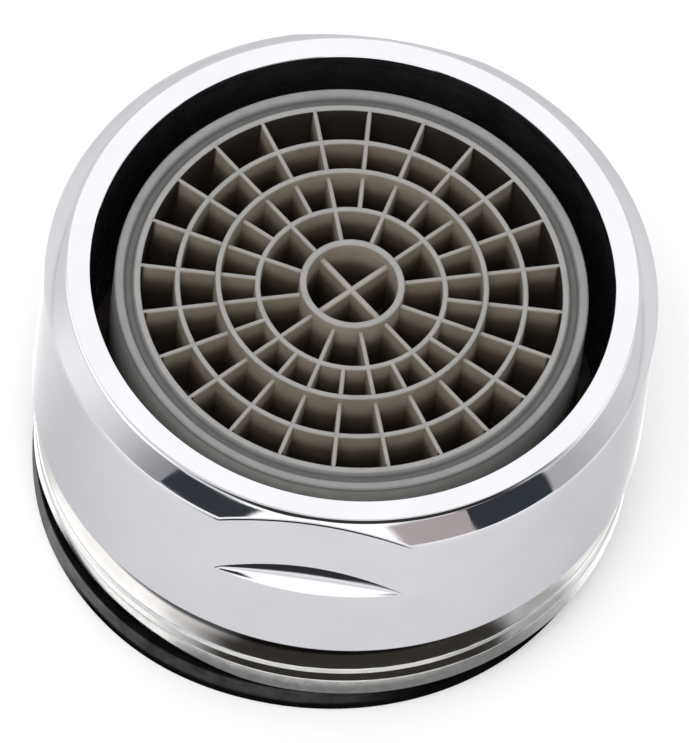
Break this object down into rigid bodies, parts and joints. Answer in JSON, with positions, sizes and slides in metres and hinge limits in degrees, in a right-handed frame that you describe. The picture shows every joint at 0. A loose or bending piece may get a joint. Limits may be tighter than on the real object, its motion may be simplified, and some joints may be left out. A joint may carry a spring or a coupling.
{
  "type": "tap aerator",
  "caption": "Male-thread tap aerator: chromed housing with spanner flats, grey plastic outlet grille standing clear of the bore, and a rubber sealing washer.",
  "frame": {"origin": "centre of the washer's lower face, on the aerator's axis", "axes": "+Z along the axis towards the outlet, with the two spanner flats facing -Y and +Y"},
  "size_m": [0.0244, 0.0244, 0.0135],
  "materials": {
    "chromed_brass": "polished",
    "washer_rubber": "matte",
    "grey_plastic": "moulded satin",
    "inner_plastic": "moulded satin",
    "strainer_plastic": "moulded satin"
  },
  "bodies": {
    "root": {"housing": "chromed_brass", "sealing_washer": "washer_rubber", "outlet_insert": "grey_plastic", "mixing_grid_outer": "inner_plastic", "mixing_grid_inner": "inner_plastic", "jet_plate": "inner_plastic", "strainer": "strainer_plastic"}
  },
  "joints": []
}
